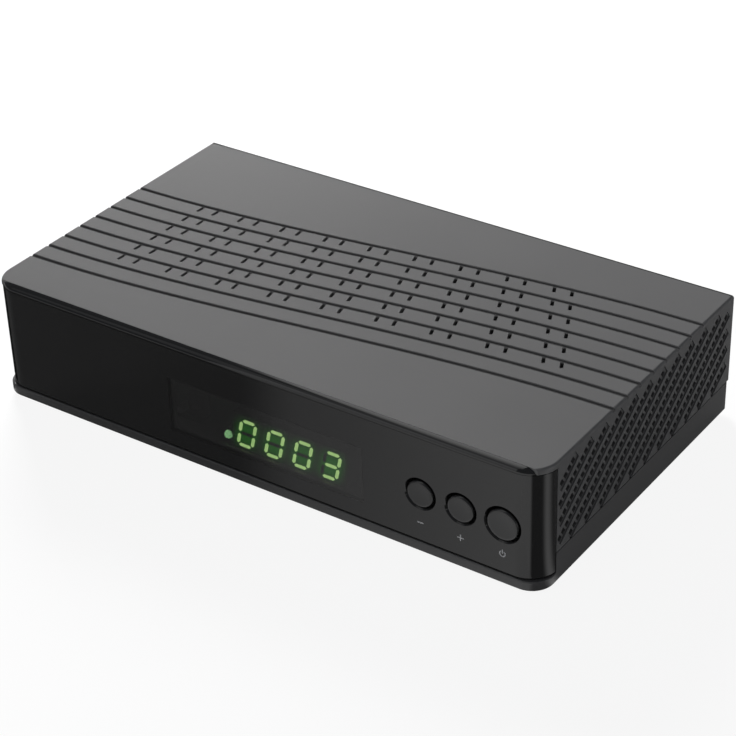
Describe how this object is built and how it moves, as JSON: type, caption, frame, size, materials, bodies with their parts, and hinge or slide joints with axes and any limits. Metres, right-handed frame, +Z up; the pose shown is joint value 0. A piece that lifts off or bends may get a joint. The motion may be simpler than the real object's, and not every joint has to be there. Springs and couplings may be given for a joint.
{
  "type": "satellite television receiver",
  "caption": "Flat set-top receiver: ribbed, vented plastic case, glossy front with digit display and round push buttons, feet, and rear aerial, audio, video and power sockets.",
  "frame": {"origin": "on the plane that the feet stand on, under the middle of the box round the whole receiver with its rear connectors", "axes": "+X to the right seen from in front, +Y from the front to the rear sockets, +Z up"},
  "size_m": [0.198, 0.1216, 0.0415],
  "materials": {
    "cover_plastic": "satin, fine moulded texture",
    "tray_plastic": "satin",
    "gloss_black": "polished",
    "smoked_lens": "polished, smoked",
    "button_black": "semi-gloss",
    "display_grey": "matte face with lit digits",
    "led_green": "lit, clear",
    "board_green": "solder mask",
    "switch_black": "matte",
    "plunger_brown": "matte",
    "eye_black": "polished",
    "tinned_steel": "tinned",
    "nickel": "nickel plated",
    "socket_black": "matte",
    "chip_black": "matte",
    "heatsink_metal": "anodised",
    "sleeve_black": "shrink sleeve",
    "ferrite": "matte",
    "plate_black": "powder coated",
    "screw_zinc": "zinc plated",
    "foot_rubber": "matte"
  },
  "bodies": {
    "receiver": {"audio_socket": "nickel", "board_screw_1": "screw_zinc", "board_screw_2": "screw_zinc", "board_screw_3": "screw_zinc", "board_screw_4": "screw_zinc", "bottom_shell": "tray_plastic", "capacitor_1": "sleeve_black", "capacitor_2": "sleeve_black", "capacitor_3": "sleeve_black", "capacitor_4": "sleeve_black", "case_screw_1": "screw_zinc", "case_screw_2": "screw_zinc", "case_screw_3": "screw_zinc", "case_screw_4": "screw_zinc", "connector_nut_1": "nickel", "connector_nut_2": "nickel", "crystal": "tinned_steel", "dc_jack": "socket_black", "display_module": "display_grey", "display_window": "smoked_lens", "flash_chip": "chip_black", "front_board": "board_green", "front_board_screw_1": "screw_zinc", "front_board_screw_2": "screw_zinc", "front_board_screw_3": "screw_zinc", "front_panel": "gloss_black", "hdmi_socket": "tinned_steel", "heatsink": "heatsink_metal", "ir_receiver": "eye_black", "link_header": "switch_black", "lnb_in_connector": "nickel", "lnb_out_connector": "nickel", "main_board": "board_green", "main_chip": "chip_black", "memory_chip": "chip_black", "power_inductor_1": "ferrite", "power_inductor_2": "ferrite", "rear_panel": "plate_black", "rubber_foot_1": "foot_rubber", "rubber_foot_2": "foot_rubber", "rubber_foot_3": "foot_rubber", "rubber_foot_4": "foot_rubber", "scart_socket": "socket_black", "status_led": "led_green", "tact_switch_channel_down": "switch_black", "tact_switch_channel_up": "switch_black", "tact_switch_power": "switch_black", "top_cover": "cover_plastic", "tuner_can": "tinned_steel", "usb_socket": "tinned_steel"},
    "channel_down_button": {"button_channel_down": "button_black", "plunger_channel_down": "plunger_brown"},
    "channel_up_button": {"button_channel_up": "button_black", "plunger_channel_up": "plunger_brown"},
    "power_button": {"button_power": "button_black", "plunger_power": "plunger_brown"}
  },
  "joints": [
    {"name": "channel_down_press", "type": "slide", "parent": "receiver", "child": "channel_down_button", "axis": [0, 1, 0], "range_m": [0, 0.0006], "stiffness_N_per_m": 500},
    {"name": "channel_up_press", "type": "slide", "parent": "receiver", "child": "channel_up_button", "axis": [0, 1, 0], "range_m": [0, 0.0006], "stiffness_N_per_m": 500},
    {"name": "power_press", "type": "slide", "parent": "receiver", "child": "power_button", "axis": [0, 1, 0], "range_m": [0, 0.0006], "stiffness_N_per_m": 500}
  ]
}
